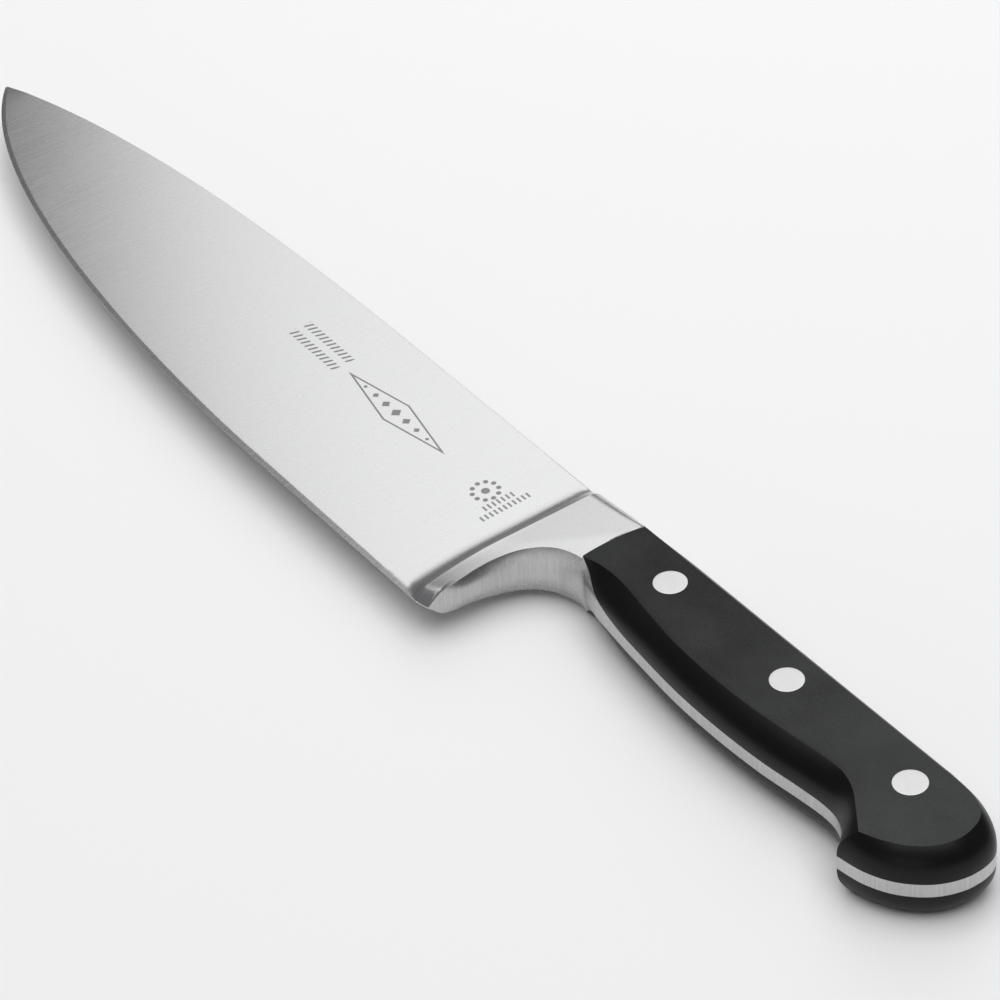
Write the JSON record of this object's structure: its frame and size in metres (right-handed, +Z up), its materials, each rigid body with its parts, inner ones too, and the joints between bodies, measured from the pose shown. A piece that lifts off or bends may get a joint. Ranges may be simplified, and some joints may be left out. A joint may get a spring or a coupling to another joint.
{
  "type": "chef knife",
  "caption": "Forged chef's knife with a broad tapering blade, a full bolster, and a full tang between riveted dark handle scales that end in a hooked butt.",
  "frame": {"origin": "Under the middle of the knife's outline, level with the lowest edge of the right scale.", "axes": "The knife lies on its right side. +X runs from the tip of the blade to the butt of the handle, +Y from the cutting edge to the spine, and +Z up through the thickness, out of the left side."},
  "size_m": [0.3205, 0.0456, 0.0162],
  "materials": {
    "steel": "satin, brushed across the blade",
    "handle": "matte on the flat faces, smoother on the sides",
    "rivet": "fine matte, flush with the scales"
  },
  "bodies": {
    "root": {"blade_forging": "steel", "scale_left": "handle", "scale_right": "handle", "rivet_stem_front": "rivet", "rivet_tube_front": "rivet", "rivet_stem_middle": "rivet", "rivet_tube_middle": "rivet", "rivet_stem_rear": "rivet", "rivet_tube_rear": "rivet"}
  },
  "joints": []
}
